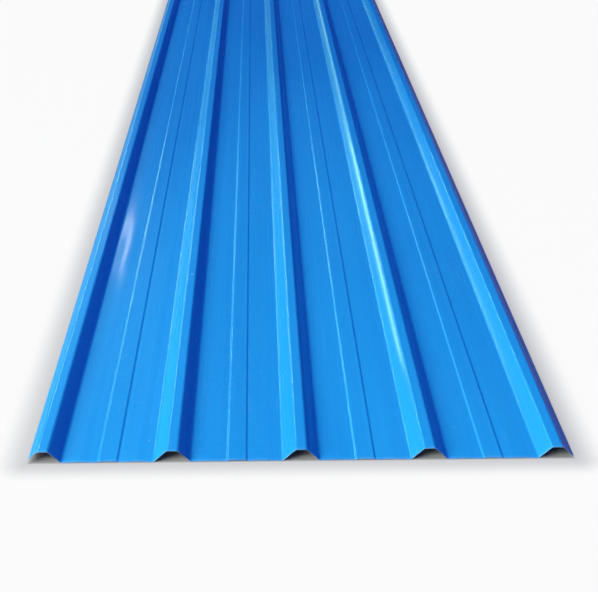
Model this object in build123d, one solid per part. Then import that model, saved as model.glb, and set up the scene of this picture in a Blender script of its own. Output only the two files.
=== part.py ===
"""Trapezoidal roofing sheet, roll-formed in one piece from prepainted steel coil.

The sheet lies flat with its ribs up. X runs across the ribs, Y along them and Z up.
The origin is on the floor, under the middle of the sheet. Lengths are in millimetres.
"""
import os

from build123d import *

# The stock
sheet_length = 5000.0
sheet_thickness = 0.5

# The ribs, sized along the underside of the sheet, with the inside radius of their bends
rib_count = 5
rib_pitch = 210.0
rib_height = 20.0
rib_base_width = 59.0
rib_crest_width = 17.0
rib_bend_radius = 6.5

# The shallow stiffener raised along the middle of each pan
stiffener_base_width = 34.0
stiffener_height = 1.5
stiffener_step_width = 3.0
stiffener_bend_radius = 3.0

# The outer flanks of the two edge ribs are cut short, measured down from the crest
overlap_lip_drop = 13.0
underlap_leg_drop = 18.0


def raised_fold(centre, base_width, top_width, height, bend_radius):
    """Return the four bends of a raised trapezoid as (x, z, underside radius).

    The inside of a bend at pan level is on the top face, so its underside is one thickness larger.
    """
    foot_radius = bend_radius + sheet_thickness
    return [
        (centre - base_width / 2, 0, foot_radius),
        (centre - top_width / 2, height, bend_radius),
        (centre + top_width / 2, height, bend_radius),
        (centre + base_width / 2, 0, foot_radius),
    ]


def rib(centre):
    """Return the bends of one full rib, from left to right."""
    return raised_fold(centre, rib_base_width, rib_crest_width, rib_height, rib_bend_radius)


def stiffener(centre):
    """Return the bends of one pan stiffener, from left to right."""
    top_width = stiffener_base_width - 2 * stiffener_step_width
    return raised_fold(centre, stiffener_base_width, top_width, stiffener_height, stiffener_bend_radius)


def cut_end(crest_x, drop, outward):
    """Return where an edge rib's outer flank is cut, at the same slope as every flank."""
    flank_run = (rib_base_width - rib_crest_width) / 2
    run = drop * flank_run / rib_height
    return (crest_x + outward * run, rib_height - drop)


def underside_bends():
    """Return the bends of the underside, from the first rib's left foot to the last rib's right foot."""
    bends = rib(0)
    for index in range(1, rib_count):
        centre = index * rib_pitch
        bends += stiffener(centre - rib_pitch / 2)
        bends += rib(centre)
    return bends


def underside():
    """Return the line of the underside, from the overlap lip to the underlap leg, centred on X."""
    bends = underside_bends()[1:-1]
    left_end = cut_end(bends[0][0], overlap_lip_drop, -1)
    right_end = cut_end(bends[-1][0], underlap_leg_drop, 1)
    corners = [left_end] + [(x, z) for x, z, radius in bends] + [right_end]
    middle_x = (left_end[0] + right_end[0]) / 2
    centred = [(x - middle_x, z) for x, z in corners]
    return FilletPolyline(*centred, radius=[radius for x, z, radius in bends])


def corrugated_sheet():
    """Return the sheet: its bent section, one thickness throughout, run along Y."""
    outline = offset(underside(), sheet_thickness, side=Side.LEFT)
    section = Plane.XZ * make_face(outline)
    return extrude(section, sheet_length / 2, both=True)


os.makedirs("parts", exist_ok=True)
export_step(corrugated_sheet(), "parts/corrugated_sheet.step")
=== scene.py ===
"""Looks of a painted trapezoidal roofing sheet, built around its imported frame.

X runs across the ribs, Y along them and Z up. Lengths are in metres.
"""
import math

import bpy
import numpy as np
from mathutils import Matrix, Vector

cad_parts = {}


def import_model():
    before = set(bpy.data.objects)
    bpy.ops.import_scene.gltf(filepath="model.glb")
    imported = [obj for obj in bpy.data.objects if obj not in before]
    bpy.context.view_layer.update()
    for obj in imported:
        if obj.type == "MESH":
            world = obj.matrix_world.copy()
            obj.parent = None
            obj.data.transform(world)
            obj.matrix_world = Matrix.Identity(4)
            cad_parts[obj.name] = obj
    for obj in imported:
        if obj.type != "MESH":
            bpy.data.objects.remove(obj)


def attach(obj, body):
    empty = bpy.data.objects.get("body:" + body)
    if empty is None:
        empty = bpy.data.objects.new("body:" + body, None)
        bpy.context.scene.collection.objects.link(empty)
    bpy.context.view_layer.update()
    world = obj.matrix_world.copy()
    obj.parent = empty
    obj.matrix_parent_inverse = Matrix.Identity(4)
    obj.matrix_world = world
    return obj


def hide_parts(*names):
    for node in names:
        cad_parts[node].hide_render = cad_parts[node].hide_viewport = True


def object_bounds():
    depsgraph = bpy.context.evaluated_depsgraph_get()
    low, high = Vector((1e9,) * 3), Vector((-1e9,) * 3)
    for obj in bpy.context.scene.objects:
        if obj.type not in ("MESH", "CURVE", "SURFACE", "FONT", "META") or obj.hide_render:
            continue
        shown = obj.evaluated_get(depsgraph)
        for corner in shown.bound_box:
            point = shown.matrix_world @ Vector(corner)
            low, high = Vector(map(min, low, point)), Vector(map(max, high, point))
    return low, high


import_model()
cad_low, cad_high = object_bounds()

# The section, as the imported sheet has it
SHEET_THICKNESS = 0.0005
RIB_COUNT = 5
RIB_PITCH = 0.210
RIB_HEIGHT = 0.020
RIB_BASE_WIDTH = 0.059
RIB_CREST_WIDTH = 0.017
RIB_BEND_RADIUS = 0.0065
STIFFENER_BASE_WIDTH = 0.034
STIFFENER_HEIGHT = 0.0015
STIFFENER_STEP_WIDTH = 0.003
STIFFENER_BEND_RADIUS = 0.003
OVERLAP_LIP_DROP = 0.013
UNDERLAP_LEG_DROP = 0.018

# The faint outward bow that rolling leaves in each whole flank: rise of its corner, and radius
FLANK_BOW_RISE = 0.00056
FLANK_BOW_RADIUS = 0.286

# How finely the section and the length are divided, with angles in radians
BEND_SEGMENT_ANGLE = 0.13
BEND_LEAST_SEGMENTS = 5
RUN_SHARES = (0.03, 0.25, 0.5, 0.75, 0.97)
SHORTEST_DIVIDED_RUN = 0.006
LENGTH_ROWS = 116
LEVEL_TOLERANCE = 1e-6
SHARP_EDGE_ANGLE = math.radians(40)

# Slight waves that rolling and handling leave in the flat pans, and a ripple at the cut ends
PAN_WAVE_HEIGHT = 0.0007
PAN_WAVE_LENGTHS = (0.93, 0.41, 0.23)
PAN_WAVE_PHASE_STEP = 7.3
END_RIPPLE_HEIGHT = 0.0009
END_RIPPLE_REACH = 0.09
END_RIPPLE_TURN_PER_METRE = 61.0

# The camera: image size and focal length in pixels, place in metres, angles in degrees
IMAGE_WIDTH = 598
FOCAL_PIXELS = 1316.8
SENSOR_WIDTH_MM = 36.0
CAMERA_X = -0.0736
CAMERA_BEFORE_FRONT = 1.8593
CAMERA_HEIGHT = 1.1039
CAMERA_PITCH = 23.557
CAMERA_YAW = 2.007
CAMERA_ROLL = -0.43
CAMERA_REACH = 480.0

# Colours, as linear red, green, blue and opacity
PAINT_DEEP = (0.010, 0.252, 0.640, 1.0)
PAINT_LIGHT = (0.014, 0.294, 0.700, 1.0)
DUST = (0.34, 0.46, 0.60, 1.0)
SCRATCH = (0.38, 0.60, 0.80, 1.0)
BACKING_DARK = (0.45, 0.47, 0.49, 1.0)
BACKING_LIGHT = (0.53, 0.55, 0.56, 1.0)
STEEL = (0.36, 0.37, 0.40, 1.0)
ZINC = (0.62, 0.64, 0.67, 1.0)
FLOOR_COLOUR = (0.22, 0.225, 0.25, 1.0)
SKY_LOW = (0.010, 0.035, 0.39, 1.0)
SKY_HIGH = (0.075, 0.11, 0.45, 1.0)
SKY_RIGHT = (0.055, 0.055, 0.50, 1.0)

# Light colours, as linear red, green and blue
WARM = (1.0, 0.98, 0.75)
CYAN = (0.45, 1.0, 0.95)
SEA_GREEN = (0.5, 1.0, 0.6)
WHITE = (1.0, 1.0, 1.0)


# The section of the sheet

def raised_fold(centre, base_width, top_width, height, bend_radius):
    """Return the four bends of a raised trapezoid as (x, z, underside radius)."""
    foot_radius = bend_radius + SHEET_THICKNESS
    return [
        (centre - base_width / 2, 0.0, foot_radius),
        (centre - top_width / 2, height, bend_radius),
        (centre + top_width / 2, height, bend_radius),
        (centre + base_width / 2, 0.0, foot_radius),
    ]


def rib(centre):
    """Return the bends of one full rib."""
    return raised_fold(centre, RIB_BASE_WIDTH, RIB_CREST_WIDTH, RIB_HEIGHT, RIB_BEND_RADIUS)


def stiffener(centre):
    """Return the bends of one pan stiffener."""
    top_width = STIFFENER_BASE_WIDTH - 2 * STIFFENER_STEP_WIDTH
    return raised_fold(centre, STIFFENER_BASE_WIDTH, top_width, STIFFENER_HEIGHT, STIFFENER_BEND_RADIUS)


def cut_end(crest_x, drop, outward):
    """Return where an edge rib's outer flank is cut."""
    flank_run = (RIB_BASE_WIDTH - RIB_CREST_WIDTH) / 2
    return (crest_x + outward * drop * flank_run / RIB_HEIGHT, RIB_HEIGHT - drop, 0.0)


def turned(direction):
    """Return a direction in the section turned a quarter left, so that it points up."""
    return np.array([-direction[1], direction[0]])


def bowed(bends):
    """Return the bends with one very wide bend added in the middle of every whole flank."""
    result = bends[:1]
    for start, end in zip(bends, bends[1:]):
        flank = np.subtract(end[:2], start[:2])
        if math.isclose(abs(flank[1]), RIB_HEIGHT):
            middle = np.add(end[:2], start[:2]) / 2
            x, z = middle + turned(flank) / np.linalg.norm(flank) * FLANK_BOW_RISE
            result.append((x, z, FLANK_BOW_RADIUS))
        result.append(end)
    return result


def underside_bends():
    """Return the bends of the underside, with the two cut ends, centred on X."""
    bends = rib(0.0)
    for index in range(1, RIB_COUNT):
        centre = index * RIB_PITCH
        bends += stiffener(centre - RIB_PITCH / 2)
        bends += rib(centre)
    bends[0] = cut_end(bends[1][0], OVERLAP_LIP_DROP, -1)
    bends[-1] = cut_end(bends[-2][0], UNDERLAP_LEG_DROP, 1)
    middle_x = (bends[0][0] + bends[-1][0]) / 2
    return [(x - middle_x, z, radius) for x, z, radius in bowed(bends)]


def rounded(corner, radius, before, after):
    """Return the points and normals of one rounded bend along the underside."""
    turn = math.atan2(before[0] * after[1] - before[1] * after[0], before @ after)
    side = math.copysign(1.0, turn)
    start = corner - before * radius * math.tan(abs(turn) / 2)
    middle = start + turned(before) * radius * side
    steps = max(BEND_LEAST_SEGMENTS, math.ceil(abs(turn) / BEND_SEGMENT_ANGLE))
    points = []
    normals = []
    for step in range(steps + 1):
        angle = turn * step / steps
        along = before * math.cos(angle) + turned(before) * math.sin(angle)
        normals.append(turned(along))
        points.append(middle - turned(along) * radius * side)
    return points, normals


def section():
    """Return the underside's points, its upward normals and how free each point is to wave.

    The freedom is 1 in the middle of a straight run at pan level and 0 on every bend.
    """
    bends = underside_bends()
    corners = np.array([(x, z) for x, z, _ in bends])
    runs = np.diff(corners, axis=0)
    runs /= np.linalg.norm(runs, axis=1)[:, None]
    arcs = [
        rounded(corners[i], bends[i][2], runs[i - 1], runs[i])
        for i in range(1, len(corners) - 1)
    ]
    starts = [([corners[0]], [turned(runs[0])])] + arcs
    ends = arcs + [([corners[-1]], [turned(runs[-1])])]
    points = []
    normals = []
    freedom = []
    for run, start, end in zip(runs, starts, ends):
        points += start[0]
        normals += start[1]
        freedom += [0.0] * len(start[0])
        first = start[0][-1]
        last = end[0][0]
        if np.linalg.norm(last - first) < SHORTEST_DIVIDED_RUN:
            continue
        at_pan = abs(first[1]) < STIFFENER_HEIGHT / 2 and abs(run[1]) < LEVEL_TOLERANCE
        for share in RUN_SHARES:
            points.append(first + (last - first) * share)
            normals.append(turned(run))
            freedom.append(math.sin(math.pi * share) ** 2 if at_pan else 0.0)
    points.append(corners[-1])
    normals.append(turned(runs[-1]))
    freedom.append(0.0)
    return np.array(points), np.array(normals), np.array(freedom)


# The sheet as a mesh

def raised_sine(angle):
    """Return the sine of an angle, carried to the range from 0 to 1."""
    return 0.5 + 0.5 * np.sin(angle)


def pan_waves(x, y):
    """Return how far the flat metal stands up at each place, from 0 to 1."""
    half_pan = np.floor((x - cad_low.x) / (RIB_PITCH / 2))
    total = np.zeros(np.broadcast(x, y).shape)
    for order, length in enumerate(PAN_WAVE_LENGTHS, start=1):
        phase = PAN_WAVE_PHASE_STEP * order * half_pan
        total += raised_sine(math.tau * y / length + phase)
    return total / len(PAN_WAVE_LENGTHS)


def end_ripple(x, y):
    """Return the share of the end ripple left at each place, strongest at the cut ends."""
    from_end = np.minimum(y - cad_low.y, cad_high.y - y)
    return np.exp(-from_end / END_RIPPLE_REACH) * raised_sine(x * END_RIPPLE_TURN_PER_METRE)


def strip_of_quads(a, b):
    """Return the quads between two rows of vertices."""
    return np.stack([a[:-1], a[1:], b[1:], b[:-1]], axis=-1).reshape(-1, 4)


def layer_of_quads(layer):
    """Return the quads of a whole layer of vertices."""
    return np.concatenate([strip_of_quads(a, b) for a, b in zip(layer, layer[1:])])


def sheet_mesh():
    """Return the closed mesh of the sheet: top, underside and the four cut edges."""
    points, normals, freedom = section()
    rows = np.linspace(cad_low.y, cad_high.y, LENGTH_ROWS + 1)
    across = len(points)
    x = points[None, :, 0]
    y = rows[:, None]
    lift = freedom * (PAN_WAVE_HEIGHT * pan_waves(x, y) + END_RIPPLE_HEIGHT * end_ripple(x, y))
    vertices = []
    for thickness in (SHEET_THICKNESS, 0.0):
        layer = np.empty((len(rows), across, 3))
        layer[..., 0] = points[:, 0] + normals[:, 0] * thickness
        layer[..., 1] = y
        layer[..., 2] = points[:, 1] + normals[:, 1] * thickness + lift
        vertices.append(layer.reshape(-1, 3))
    top = np.arange(len(rows) * across).reshape(len(rows), across)
    under = top + top.size
    faces = [
        (layer_of_quads(top), "paint"),
        (layer_of_quads(under)[:, ::-1], "backing"),
        (strip_of_quads(under[0], top[0]), "edge"),
        (strip_of_quads(top[-1], under[-1]), "edge"),
        (strip_of_quads(top[:, 0], under[:, 0]), "edge"),
        (strip_of_quads(under[:, -1], top[:, -1]), "edge"),
    ]
    mesh = bpy.data.meshes.new("corrugated_sheet_finish")
    quads = np.concatenate([quad for quad, _ in faces])
    mesh.from_pydata(np.concatenate(vertices).tolist(), [], quads.tolist())
    kinds = ("paint", "backing", "edge")
    slots = np.concatenate([np.full(len(quad), kinds.index(kind)) for quad, kind in faces])
    mesh.polygons.foreach_set("material_index", slots)
    depth = mesh.attributes.new("depth", "FLOAT", "POINT")
    depth.data.foreach_set("value", np.repeat([1.0, 0.0], top.size))
    mesh.shade_smooth()
    mesh.set_sharp_from_angle(angle=SHARP_EDGE_ANGLE)
    mesh.validate()
    return mesh


# Nodes that the materials share

def node(tree, kind, inputs=None, **settings):
    """Add a node. An input is a value, or the output of another node to link."""
    made = tree.nodes.new(kind)
    for name, value in settings.items():
        setattr(made, name, value)
    for name, value in (inputs or {}).items():
        if isinstance(value, bpy.types.NodeSocket):
            tree.links.new(value, made.inputs[name])
        else:
            made.inputs[name].default_value = value
    return made


def principled(name):
    """Return a new material, its node tree and its shader."""
    material = bpy.data.materials.new(name)
    material.use_nodes = True
    tree = material.node_tree
    return material, tree, tree.nodes["Principled BSDF"]


def object_place(tree):
    """Return the place on the object."""
    return node(tree, "ShaderNodeTexCoord").outputs["Object"]


def noise(tree, scale, detail=2.0, turn=0.0):
    """Return a noise pattern from 0 to 1, scaled along X, Y and Z and turned about Z."""
    vector = node(tree, "ShaderNodeMapping", {
        "Vector": object_place(tree), "Scale": scale, "Rotation": (0.0, 0.0, turn),
    }).outputs["Vector"]
    return node(tree, "ShaderNodeTexNoise", {
        "Vector": vector, "Scale": 1.0, "Detail": detail,
    }).outputs["Fac"]


def even(scale):
    """Return one scale for all three axes."""
    return (scale, scale, scale)


def ranged(tree, value, source, target=(0.0, 1.0)):
    """Return a value carried smoothly from one range to another."""
    return node(tree, "ShaderNodeMapRange", {
        "Value": value,
        "From Min": source[0],
        "From Max": source[1],
        "To Min": target[0],
        "To Max": target[1],
    }, interpolation_type="SMOOTHSTEP").outputs["Result"]


def maths(tree, operation, first, second):
    """Return the result of one sum."""
    return node(tree, "ShaderNodeMath", {0: first, 1: second}, operation=operation).outputs[0]


def vector_maths(tree, operation, *vectors):
    """Return the node of one sum of vectors."""
    return node(tree, "ShaderNodeVectorMath", dict(enumerate(vectors)), operation=operation)


def blended(tree, share, first, second):
    """Return two colours mixed by a share."""
    return node(tree, "ShaderNodeMix", {0: share, 6: first, 7: second}, data_type="RGBA").outputs[2]


def covered(tree, colour, pattern, strength, cover):
    """Return a colour with another laid over it where a pattern is, up to a strength."""
    return blended(tree, maths(tree, "MULTIPLY", pattern, strength), colour, cover)


def brightened(tree, colour, value):
    """Return a colour made lighter or darker by a value around 1."""
    return node(tree, "ShaderNodeHueSaturation", {"Color": colour, "Value": value}).outputs[0]


def bumped(tree, height, bump, onto=None):
    """Return a normal raised by a height pattern. A bump is a strength and a distance."""
    strength, distance = bump
    inputs = {"Height": height, "Strength": strength, "Distance": distance}
    if onto is not None:
        inputs["Normal"] = onto
    return node(tree, "ShaderNodeBump", inputs).outputs["Normal"]


# Parts of a noise pattern's range that several materials use
NOISE_MIDDLE = (0.3, 0.7)
NOISE_HALF = (0.25, 0.75)
NOISE_WIDE = (0.2, 0.8)

# The paint. A scale is the number of noise cells to the metre, along X, Y and Z or all round
TONE_SCALE = (2.4, 0.5, 2.4)
STREAK_SCALE = (75.0, 0.3, 75.0)
STREAK_DETAIL = 3.0
STREAK_BRIGHTNESS = (0.975, 1.025)
STREAK_ROUGHNESS = (0.20, 0.32)
STREAK_BUMP = (0.04, 0.0002)
PEEL_SCALE = 620.0
PEEL_DETAIL = 1.0
PEEL_BUMP = (0.10, 0.0001)
COAT_WEIGHT = (0.30, 0.10)
COAT_ROUGHNESS = 0.09
BASE_SPECULAR = 0.02

# Dust in the paint's grain, gathered in patches
DUST_GRAIN_SCALE = 170.0
DUST_GRAIN_DETAIL = 6.0
DUST_GRAIN_RANGE = (0.52, 0.75)
DUST_PATCH_SCALE = 2.6
DUST_PATCH_DETAIL = 3.0
DUST_PATCH_RANGE = (0.42, 0.7)
DUST_STRENGTH = 0.10
DUST_DULLNESS = 0.5
DULL_ROUGHNESS = 0.25

# Fine scratches along the sheet in two directions, in radians, where it is scuffed
SCRATCH_TURNS = (0.05, -0.11)
SCRATCH_SCALE = (620.0, 7.0, 620.0)
SCRATCH_DETAIL = 1.0
SCRATCH_RANGE = (0.73, 0.80)
SCRATCH_STRENGTH = 0.22
SCUFF_SCALE = 5.0
SCUFF_RANGE = (0.5, 0.68)

# How far from the cut ends and the long edges the paint is worn
END_WEAR = 0.009
SIDE_WEAR = 0.003
WEAR_SCALE = 90.0
WEAR_DETAIL = 3.0
WEAR_RANGE = (0.25, 0.6)
WEAR_STRENGTH = 0.16

# Small marks in the paint: place across, place from the front end, and radius
PAINT_MARKS = (
    (-0.255, 0.069, 0.0016),
    (0.262, 0.105, 0.0013),
    (-0.211, 0.745, 0.0030),
)
MARK_WIDTH_TO_LENGTH = 0.6
MARK_CORE_SHARE = 0.5
MARK_STRENGTH = 0.55


def paint_marks(tree):
    """Return where the few small marks are, from 0 to 1."""
    flat = vector_maths(tree, "MULTIPLY", object_place(tree), (1.0, MARK_WIDTH_TO_LENGTH, 0.0))
    total = 0.0
    for across, from_front, radius in PAINT_MARKS:
        middle = (across, (cad_low.y + from_front) * MARK_WIDTH_TO_LENGTH, 0.0)
        gap = vector_maths(tree, "DISTANCE", flat.outputs["Vector"], middle).outputs["Value"]
        spot = ranged(tree, gap, (radius * MARK_CORE_SHARE, radius), (1.0, 0.0))
        total = maths(tree, "MAXIMUM", total, spot)
    return total


def near_edge(tree):
    """Return how near a place is to the cut edges of the sheet, from 0 to 1 on the edge."""
    parts = node(tree, "ShaderNodeSeparateXYZ", {0: object_place(tree)}).outputs
    along = maths(tree, "ABSOLUTE", parts["Y"], 0.0)
    across = maths(tree, "ABSOLUTE", parts["X"], 0.0)
    end = ranged(tree, along, (cad_high.y - END_WEAR, cad_high.y))
    side = ranged(tree, across, (cad_high.x - SIDE_WEAR, cad_high.x))
    return maths(tree, "MAXIMUM", end, side)


def paint_dust(tree):
    """Return where a little dust lies, from 0 to 1."""
    grain = ranged(tree, noise(tree, even(DUST_GRAIN_SCALE), DUST_GRAIN_DETAIL), DUST_GRAIN_RANGE)
    patches = ranged(tree, noise(tree, even(DUST_PATCH_SCALE), DUST_PATCH_DETAIL), DUST_PATCH_RANGE)
    return maths(tree, "MULTIPLY", grain, patches)


def paint_scratches(tree):
    """Return where the fine scratches are, from 0 to 1."""
    total = 0.0
    for turn in SCRATCH_TURNS:
        lines = noise(tree, SCRATCH_SCALE, SCRATCH_DETAIL, turn)
        total = maths(tree, "MAXIMUM", total, ranged(tree, lines, SCRATCH_RANGE))
    scuffed = ranged(tree, noise(tree, even(SCUFF_SCALE)), SCUFF_RANGE)
    return maths(tree, "MULTIPLY", total, scuffed)


def paint_wear(tree):
    """Return where the paint is worn along the cut edges, from 0 to 1."""
    patches = ranged(tree, noise(tree, even(WEAR_SCALE), WEAR_DETAIL), WEAR_RANGE)
    return maths(tree, "MULTIPLY", near_edge(tree), patches)


def paint_material():
    """Glossy baked blue paint with rolling streaks, light scuffs and a little dust."""
    material, tree, shader = principled("blue_paint")
    tone = ranged(tree, noise(tree, TONE_SCALE), NOISE_MIDDLE)
    streak = noise(tree, STREAK_SCALE, STREAK_DETAIL)
    dust = paint_dust(tree)
    scratches = paint_scratches(tree)

    colour = blended(tree, tone, PAINT_DEEP, PAINT_LIGHT)
    colour = brightened(tree, colour, ranged(tree, streak, NOISE_HALF, STREAK_BRIGHTNESS))
    colour = covered(tree, colour, dust, DUST_STRENGTH, DUST)
    colour = covered(tree, colour, scratches, SCRATCH_STRENGTH, SCRATCH)
    colour = covered(tree, colour, paint_marks(tree), MARK_STRENGTH, SCRATCH)
    colour = covered(tree, colour, paint_wear(tree), WEAR_STRENGTH, SCRATCH)
    tree.links.new(colour, shader.inputs["Base Color"])

    dull = maths(tree, "ADD", maths(tree, "MULTIPLY", dust, DUST_DULLNESS), scratches)
    rough = ranged(tree, streak, NOISE_WIDE, STREAK_ROUGHNESS)
    rough = maths(tree, "ADD", rough, maths(tree, "MULTIPLY", dull, DULL_ROUGHNESS))
    tree.links.new(rough, shader.inputs["Roughness"])
    tree.links.new(ranged(tree, dull, (0.0, 1.0), COAT_WEIGHT), shader.inputs["Coat Weight"])
    shader.inputs["Coat Roughness"].default_value = COAT_ROUGHNESS
    shader.inputs["Specular IOR Level"].default_value = BASE_SPECULAR

    peel = bumped(tree, noise(tree, even(PEEL_SCALE), PEEL_DETAIL), PEEL_BUMP)
    tree.links.new(bumped(tree, streak, STREAK_BUMP, peel), shader.inputs["Normal"])
    tree.links.new(bumped(tree, streak, STREAK_BUMP), shader.inputs["Coat Normal"])
    return material


# The backing coat
CLOUD_SCALE = (14.0, 3.0, 14.0)
CLOUD_DETAIL = 4.0
CLOUD_ROUGHNESS = (0.42, 0.60)
BACKING_STREAK_SCALE = (240.0, 0.5, 240.0)
BACKING_STREAK_BRIGHTNESS = (0.93, 1.05)
RUB_SCALE = (300.0, 5.0, 300.0)
RUB_DETAIL = 1.0
RUB_TURN = 0.08
RUB_RANGE = (0.70, 0.80)
RUB_STRENGTH = 0.3
BACKING_GRAIN_SCALE = 900.0
BACKING_GRAIN_BUMP = (0.12, 0.0001)


def backing_material():
    """Thin grey backing coat, mottled where it lies thin on the zinc."""
    material, tree, shader = principled("backing_coat")
    cloud = noise(tree, CLOUD_SCALE, CLOUD_DETAIL)
    streak = noise(tree, BACKING_STREAK_SCALE)
    rub = ranged(tree, noise(tree, RUB_SCALE, RUB_DETAIL, RUB_TURN), RUB_RANGE)
    colour = blended(tree, ranged(tree, cloud, NOISE_MIDDLE), BACKING_DARK, BACKING_LIGHT)
    colour = brightened(tree, colour, ranged(tree, streak, NOISE_HALF, BACKING_STREAK_BRIGHTNESS))
    colour = covered(tree, colour, rub, RUB_STRENGTH, ZINC)
    tree.links.new(colour, shader.inputs["Base Color"])
    tree.links.new(ranged(tree, cloud, NOISE_MIDDLE, CLOUD_ROUGHNESS), shader.inputs["Roughness"])
    grain = noise(tree, even(BACKING_GRAIN_SCALE))
    tree.links.new(bumped(tree, grain, BACKING_GRAIN_BUMP), shader.inputs["Normal"])
    return material


# The cut edge
RAGGED_SCALE = (900.0, 900.0, 60.0)
RAGGED_REACH = 0.3
RAGGED_ROUGHNESS = (0.28, 0.5)
RAGGED_BUMP = (0.3, 0.0001)
DRAGGED_PAINT_DEPTH = (0.80, 0.95)
EDGE_METALLIC = (0.85, 0.0)


def edge_material():
    """Sheared edge of the zinc-coated steel, with paint dragged over its upper part."""
    material, tree, shader = principled("cut_edge")
    depth = node(tree, "ShaderNodeAttribute", attribute_name="depth").outputs["Fac"]
    ragged = noise(tree, RAGGED_SCALE)
    reach = maths(tree, "ADD", depth, maths(tree, "MULTIPLY", ragged, RAGGED_REACH))
    dragged = ranged(tree, reach, DRAGGED_PAINT_DEPTH)
    colour = blended(tree, ranged(tree, ragged, NOISE_MIDDLE), STEEL, ZINC)
    colour = blended(tree, dragged, colour, PAINT_DEEP)
    tree.links.new(colour, shader.inputs["Base Color"])
    tree.links.new(ranged(tree, dragged, (0.0, 1.0), EDGE_METALLIC), shader.inputs["Metallic"])
    tree.links.new(ranged(tree, ragged, NOISE_WIDE, RAGGED_ROUGHNESS), shader.inputs["Roughness"])
    tree.links.new(bumped(tree, ragged, RAGGED_BUMP), shader.inputs["Normal"])
    return material


# The floor: its size, and how its white glow comes in with the distance from the sheet, held back near the
# sheet as a painted shade
FLOOR_HALF_SIZE = 120.0
FLOOR_GAP = 0.0004
FLOOR_ROUGHNESS = 0.9
BACKDROP_HEIGHT = 12.0
FLOOR_EDGE_BLUR = 0.004
FLOOR_PAINTED_SHADE_REACH = 0.06
FLOOR_GLOW_SHARES = (0.50, 0.95)
FLOOR_MIRROR_PAINTED_SHADE_REACH = 0.30
FLOOR_MIRROR_SHARES = (0.0, 0.95)
FLOOR_MIRROR_FADE = (10.0, 40.0)


def floor_glow_with_painted_shade(tree):
    """Return the share of white glow, seen directly or mirrored, less near the sheet and none under it: a
    painted shade around and under the sheet, also in the sheet's reflections. The mirrored glow also fades
    out far away.
    """
    place = vector_maths(tree, "ABSOLUTE", object_place(tree)).outputs["Vector"]
    beyond = vector_maths(tree, "SUBTRACT", place, (cad_high.x, cad_high.y, 0.0)).outputs["Vector"]
    outside = vector_maths(tree, "MAXIMUM", beyond, (0.0, 0.0, 0.0)).outputs["Vector"]
    away = vector_maths(tree, "LENGTH", outside).outputs["Value"]
    sides = node(tree, "ShaderNodeSeparateXYZ", {0: beyond}).outputs
    past_edge = maths(tree, "MAXIMUM", sides["X"], sides["Y"])
    clear = ranged(tree, past_edge, (-FLOOR_EDGE_BLUR, FLOOR_EDGE_BLUR))

    path = node(tree, "ShaderNodeLightPath").outputs
    # Painted shade: the glow that the camera sees falls towards half near the sheet and to none under it
    in_view = ranged(tree, away, (0.0, FLOOR_PAINTED_SHADE_REACH), FLOOR_GLOW_SHARES)
    in_view = maths(tree, "MULTIPLY", in_view, clear)
    in_view = maths(tree, "MULTIPLY", in_view, path["Is Camera Ray"])
    # Painted shade in reflections: the mirrored glow is left out near the sheet, and it fades out far away
    in_mirror = ranged(tree, away, (0.0, FLOOR_MIRROR_PAINTED_SHADE_REACH), FLOOR_MIRROR_SHARES)
    in_mirror = maths(tree, "MULTIPLY", in_mirror, ranged(tree, away, FLOOR_MIRROR_FADE, (1.0, 0.0)))
    mirrored = maths(tree, "ADD", path["Is Glossy Ray"], path["Is Transmission Ray"])
    in_mirror = maths(tree, "MULTIPLY", in_mirror, mirrored)
    return maths(tree, "ADD", in_view, in_mirror)


def floor_material():
    """Plain matt floor that shows white, also in the distance, and keeps the sheet's lamp shadow, with a
    painted shade where its glow is held back near and under the sheet.
    """
    material, tree, shader = principled("floor_white")
    shader.inputs["Base Color"].default_value = FLOOR_COLOUR
    shader.inputs["Roughness"].default_value = FLOOR_ROUGHNESS
    shader.inputs["Specular IOR Level"].default_value = 0.0
    glow = node(tree, "ShaderNodeEmission", {"Strength": 1.0})
    mix = node(tree, "ShaderNodeMixShader", {
        0: floor_glow_with_painted_shade(tree), 1: shader.outputs[0], 2: glow.outputs[0],
    })
    tree.links.new(mix.outputs[0], tree.nodes["Material Output"].inputs["Surface"])
    return material


# Stage, light and camera

def floor():
    """A wide plain floor just under the sheet, turned up into a low backdrop all round."""
    mesh = bpy.data.meshes.new("floor")
    size = FLOOR_HALF_SIZE
    corners = [(-size, -size), (size, -size), (size, size), (-size, size)]
    count = len(corners)
    vertices = [(x, y, z) for z in (0.0, BACKDROP_HEIGHT) for x, y in corners]
    faces = [tuple(range(count))]
    for start in range(count):
        end = (start + 1) % count
        faces.append((start, start + count, end + count, end))
    mesh.from_pydata(vertices, [], faces)
    mesh.materials.append(floor_material())
    made = bpy.data.objects.new("floor", mesh)
    made.location.z = cad_low.z - FLOOR_GAP
    bpy.context.scene.collection.objects.link(made)


def area_light(name, place, aim, size, power, colour, mirrored=True):
    """A soft rectangular lamp at a place, aimed at a point, unseen by the camera."""
    lamp = bpy.data.lights.new(name, "AREA")
    lamp.color = colour
    lamp.shape = "RECTANGLE"
    lamp.size, lamp.size_y = size
    lamp.energy = power
    made = bpy.data.objects.new(name, lamp)
    made.location = place
    made.rotation_euler = (Vector(aim) - Vector(place)).to_track_quat("-Z", "Y").to_euler()
    made.visible_camera = False
    made.visible_glossy = mirrored
    bpy.context.scene.collection.objects.link(made)


def strip_light(name, across, height, width, ends, radiance, colour):
    """A long thin lamp along Y, turned towards the line that the sheet lies on."""
    start, end = ends
    middle = (start + end) / 2
    size = (end - start, width)
    power = radiance * math.pi * size[0] * size[1]
    area_light(name, (across, middle, height), (0.0, middle, 0.0), size, power, colour)


# The lines, to the left of the sheet, that the strip lamps lie on
HIGH_LINE = {"across": -2.05, "height": 3.2, "width": 0.2}
LOW_LINE = {"across": -6.0, "height": 2.31, "width": 0.35}
WINDOW_LINE = {"across": -1.21, "height": 2.9, "width": 0.1}


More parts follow.
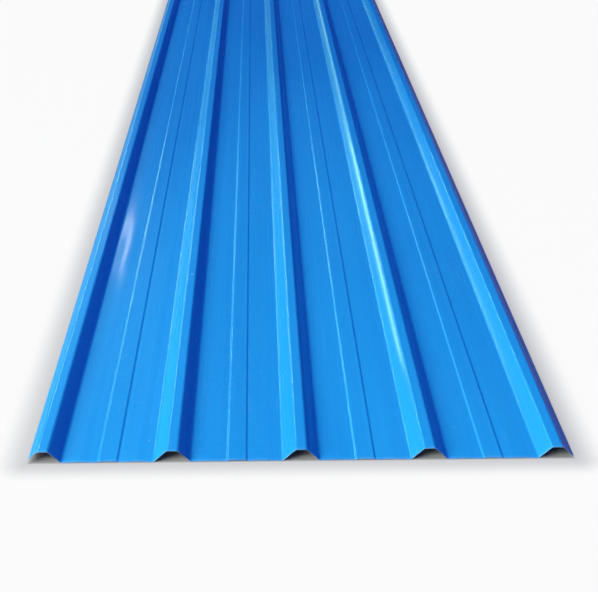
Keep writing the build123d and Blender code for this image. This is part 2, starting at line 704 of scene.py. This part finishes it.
def lamps():
    """One broad key lamp, and strips whose reflections draw bright lines along the bends."""
    area_light(
        "key", place=(-4.4, -5.8, 3.3), aim=(0.0, -2.3, 0.0), size=(4.4, 3.8), power=955.0,
        colour=WARM, mirrored=False,
    )
    strip_light("left_strip", **HIGH_LINE, ends=(3.0, 11.0), radiance=32.0, colour=CYAN)
    strip_light("low_strip", **LOW_LINE, ends=(10.7, 20.3), radiance=13.0, colour=SEA_GREEN)
    strip_light("far_low_strip", **LOW_LINE, ends=(20.3, 39.8), radiance=4.0, colour=SEA_GREEN)
    strip_light("back_strip", **HIGH_LINE, ends=(-14.0, -4.0), radiance=11.0, colour=CYAN)
    strip_light("window", **WINDOW_LINE, ends=(5.4, 6.6), radiance=9.5, colour=WHITE)


# The surroundings turn paler as a direction's upward and rightward parts go from 0 to 1
SKY_LOW_HEIGHT = 0.05
SKY_HIGH_HEIGHT = 0.9
SKY_RIGHT_RANGE = (0.15, 0.9)


def world():
    """Dim surroundings, dark at the horizon and paler overhead and to the right."""
    made = bpy.data.worlds.new("studio")
    bpy.context.scene.world = made
    made.use_nodes = True
    tree = made.node_tree
    place = node(tree, "ShaderNodeTexCoord").outputs["Generated"]
    parts = node(tree, "ShaderNodeSeparateXYZ", {0: place}).outputs
    ramp = node(tree, "ShaderNodeValToRGB", {0: parts["Z"]})
    low, high = ramp.color_ramp.elements
    low.position = SKY_LOW_HEIGHT
    low.color = SKY_LOW
    high.position = SKY_HIGH_HEIGHT
    high.color = SKY_HIGH
    rightward = ranged(tree, parts["X"], SKY_RIGHT_RANGE)
    sky = blended(tree, rightward, ramp.outputs[0], SKY_RIGHT)
    tree.links.new(sky, tree.nodes["Background"].inputs["Color"])


def camera():
    """The photograph's viewpoint."""
    pitch, yaw, roll = (math.radians(angle) for angle in (CAMERA_PITCH, CAMERA_YAW, CAMERA_ROLL))
    forward = Vector((
        math.sin(yaw) * math.cos(pitch),
        math.cos(yaw) * math.cos(pitch),
        -math.sin(pitch),
    ))
    level_right = Vector((math.cos(yaw), -math.sin(yaw), 0.0))
    level_down = forward.cross(level_right)
    right = level_right * math.cos(roll) + level_down * math.sin(roll)
    up = level_right * math.sin(roll) - level_down * math.cos(roll)
    lens = bpy.data.cameras.new("camera")
    lens.sensor_width = SENSOR_WIDTH_MM
    lens.lens = FOCAL_PIXELS / IMAGE_WIDTH * SENSOR_WIDTH_MM
    lens.clip_end = CAMERA_REACH
    made = bpy.data.objects.new("camera", lens)
    place = Vector((CAMERA_X, cad_low.y - CAMERA_BEFORE_FRONT, CAMERA_HEIGHT))
    turn = Matrix((right, up, -forward)).transposed()
    made.matrix_world = Matrix.Translation(place) @ turn.to_4x4()
    bpy.context.scene.collection.objects.link(made)
    bpy.context.scene.camera = made


def sheet():
    """The finished sheet in place of the plain one."""
    made = bpy.data.objects.new("corrugated_sheet_finish", sheet_mesh())
    for material in (paint_material(), backing_material(), edge_material()):
        made.data.materials.append(material)
    bpy.context.scene.collection.objects.link(made)
    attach(made, "root")
    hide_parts("corrugated_sheet")


sheet()
floor()
lamps()
world()
camera()
bpy.context.scene.view_settings.view_transform = "Standard"
